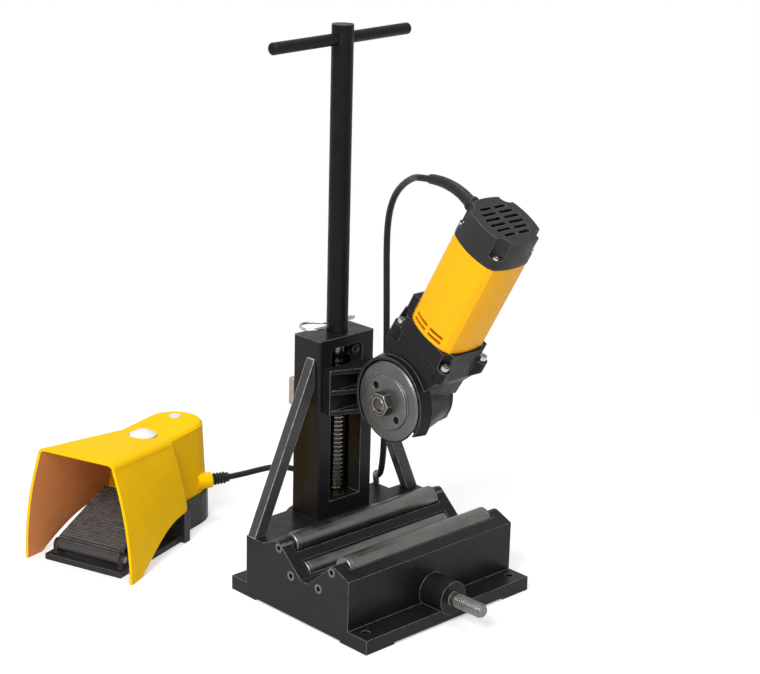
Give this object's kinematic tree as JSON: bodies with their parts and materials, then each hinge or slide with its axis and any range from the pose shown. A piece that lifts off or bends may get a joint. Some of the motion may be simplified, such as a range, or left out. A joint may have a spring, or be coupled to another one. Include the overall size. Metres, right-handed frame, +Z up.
{
  "type": "pipe cutting machine",
  "caption": "motor-driven pipe cutting machine with a roller bed, a screw-fed cutting head on a column, a tilted motor and a hooded foot switch",
  "frame": {"origin": "centre of the four fixing holes, on the bench face", "axes": "+X along the pipe to the motor side, +Y from the operator's side to the column, +Z up"},
  "size_m": [0.3793, 0.5263, 0.6238],
  "materials": {
    "black_paint": "black satin paint",
    "bright_steel": "bare machined steel",
    "zinc_steel": "bright zinc plate",
    "bronze": "bare bronze",
    "tool_steel": "ground dark tool steel",
    "copper_winding": "enamelled copper and laminations",
    "yellow_plastic": "yellow moulded plastic",
    "charcoal_plastic": "charcoal moulded plastic",
    "black_rubber": "black rubber",
    "white_plastic": "white moulded plastic"
  },
  "bodies": {
    "frame": {"base_block": "black_paint", "mounting_stud": "bright_steel", "roller_axles": "bright_steel", "column": "black_paint", "column_bolts": "zinc_steel", "left_brace": "black_paint", "right_brace": "black_paint", "upper_bush": "bronze", "lower_bush": "bronze", "stop_screw": "tool_steel", "motor_cord": "black_rubber", "cord_coil": "black_rubber", "switch_cord": "black_rubber", "switch_hood": "yellow_plastic", "switch_base": "charcoal_plastic", "pedal_pin": "bright_steel", "pedal_spring": "bright_steel", "signal_lens": "white_plastic", "cable_gland": "black_rubber"},
    "front_outer_roller": {"front_outer_roller": "bright_steel"},
    "front_inner_roller": {"front_inner_roller": "bright_steel"},
    "rear_inner_roller": {"rear_inner_roller": "bright_steel"},
    "rear_outer_roller": {"rear_outer_roller": "bright_steel"},
    "screw": {"spindle": "bright_steel", "handle_tube": "black_paint", "t_bar": "black_paint", "handle_clip": "zinc_steel"},
    "head": {"slide_block": "bright_steel", "spindle_nut": "bronze", "back_plate": "bright_steel", "back_plate_screws": "zinc_steel", "gear_housing": "black_paint", "gear_cover": "black_paint", "gear_cover_screws": "zinc_steel", "output_bearings": "bright_steel", "planet_gearbox": "bright_steel", "flange_screws": "zinc_steel", "motor_housing": "yellow_plastic", "stator": "copper_winding", "brush_holders": "bronze", "motor_bearing": "bright_steel", "motor_end_cap": "charcoal_plastic", "cap_screws": "zinc_steel", "cable_sleeve": "black_rubber"},
    "wheel": {"output_shaft": "bright_steel", "crown_gear": "bright_steel", "cutting_wheel": "tool_steel", "wheel_nut": "bright_steel"},
    "pinion": {"bevel_pinion": "bright_steel"},
    "rotor": {"armature": "copper_winding", "cooling_fan": "charcoal_plastic"},
    "pedal": {"pedal": "black_rubber"},
    "reset_button": {"reset_button": "white_plastic"}
  },
  "joints": [
    {"name": "front_outer_roller_spin", "type": "hinge", "parent": "frame", "child": "front_outer_roller", "pos_m": [0, -0.0537, 0.0749], "axis": [1, 0, 0], "continuous": true},
    {"name": "front_inner_roller_spin", "type": "hinge", "parent": "frame", "child": "front_inner_roller", "pos_m": [0, -0.0335, 0.0492], "axis": [1, 0, 0], "continuous": true},
    {"name": "rear_inner_roller_spin", "type": "hinge", "parent": "frame", "child": "rear_inner_roller", "pos_m": [0, 0.0105, 0.0492], "axis": [1, 0, 0], "continuous": true},
    {"name": "rear_outer_roller_spin", "type": "hinge", "parent": "frame", "child": "rear_outer_roller", "pos_m": [0, 0.0307, 0.0749], "axis": [1, 0, 0], "continuous": true},
    {"name": "head_slide", "type": "slide", "parent": "frame", "child": "head", "axis": [0, 0, 1], "range_m": [-0.104, 0.014], "deforming": ["motor_cord"]},
    {"name": "spindle_turn", "type": "hinge", "parent": "frame", "child": "screw", "pos_m": [0, 0.0793, 0.2833], "axis": [0, 0, 1], "range_deg": [-7560, 1080]},
    {"name": "wheel_spin", "type": "hinge", "parent": "head", "child": "wheel", "pos_m": [0, -0.0115, 0.227], "axis": [1, 0, 0], "continuous": true},
    {"name": "pinion_spin", "type": "hinge", "parent": "head", "child": "pinion", "pos_m": [0.0305, -0.0115, 0.227], "axis": [0, -0.4909, 0.8712], "continuous": true},
    {"name": "rotor_spin", "type": "hinge", "parent": "head", "child": "rotor", "pos_m": [0.0305, -0.0115, 0.227], "axis": [0, -0.4909, 0.8712], "continuous": true},
    {"name": "pedal_press", "type": "hinge", "parent": "frame", "child": "pedal", "pos_m": [-0.20488, 0.26662, 0.0155], "axis": [-0.309, 0.9511, 0], "range_deg": [0, 10], "stiffness_Nm_per_rad": 1.2, "springref_deg": -14.32, "deforming": ["pedal_spring"]},
    {"name": "reset_press", "type": "slide", "parent": "frame", "child": "reset_button", "axis": [0, 0, -1], "range_m": [0, 0.0035], "stiffness_N_per_m": 900, "springref_m": -0.003}
  ],
  "couplings": [
    {"joint": "spindle_turn", "follows": "head_slide", "rad_per_m": 1256.6},
    {"joint": "pinion_spin", "follows": "wheel_spin", "ratio": -4},
    {"joint": "rotor_spin", "follows": "wheel_spin", "ratio": -144}
  ]
}
